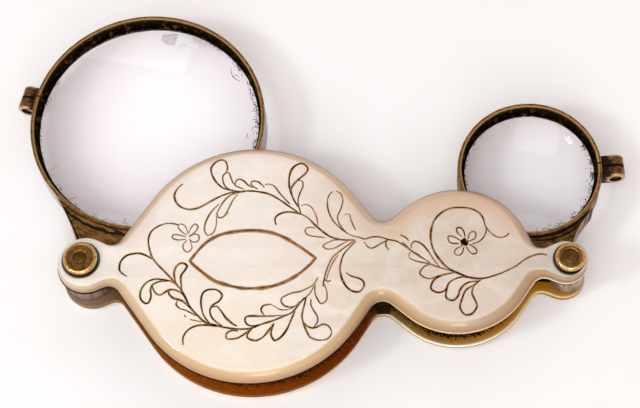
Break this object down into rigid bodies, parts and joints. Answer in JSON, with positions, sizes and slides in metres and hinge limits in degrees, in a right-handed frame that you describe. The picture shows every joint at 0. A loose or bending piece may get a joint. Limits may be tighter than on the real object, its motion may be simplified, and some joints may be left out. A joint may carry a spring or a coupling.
{
  "type": "folding pocket magnifier",
  "caption": "Antique double-ended folding pocket magnifier: brass-framed lenses on pivots at both ends of a figure-of-eight case faced with engraved mother-of-pearl",
  "frame": {"origin": "On the flat back face of the case, midway between the two pivot axes", "axes": "+X runs from the large lens's pivot to the small lens's pivot, +Y points to the side of the case where both lenses are swung out, +Z points out of the engraved front"},
  "size_m": [0.0939, 0.0606, 0.0112],
  "materials": {
    "pearl": "gloss",
    "brass": "satin",
    "pin_brass": "satin",
    "black_brass": "matte",
    "barrel_metal": "satin",
    "dark_brass": "satin",
    "glass": "polished"
  },
  "bodies": {
    "case": {"front_scale": "pearl", "front_liner": "brass", "back_liner": "brass", "back_scale": "pearl", "waist_spacer": "black_brass", "large_pivot_pin": "pin_brass", "small_pivot_pin": "pin_brass", "large_front_rosette": "brass", "large_back_rosette": "brass", "small_front_rosette": "brass", "small_back_rosette": "brass"},
    "large_arm": {"large_barrel": "barrel_metal", "large_foot": "dark_brass", "large_ring": "dark_brass", "large_lens": "glass", "large_ring_screw": "pin_brass"},
    "small_arm": {"small_barrel": "barrel_metal", "small_foot": "dark_brass", "small_ring": "dark_brass", "small_lens": "glass", "small_ring_screw": "pin_brass"}
  },
  "joints": [
    {"name": "large_swing", "type": "hinge", "parent": "case", "child": "large_arm", "pos_m": [-0.036, 0, 0.00505], "axis": [0, 0, 1], "range_deg": [-71, 109]},
    {"name": "small_swing", "type": "hinge", "parent": "case", "child": "small_arm", "pos_m": [0.036, 0, 0.00505], "axis": [0, 0, -1], "range_deg": [-71, 109]}
  ]
}
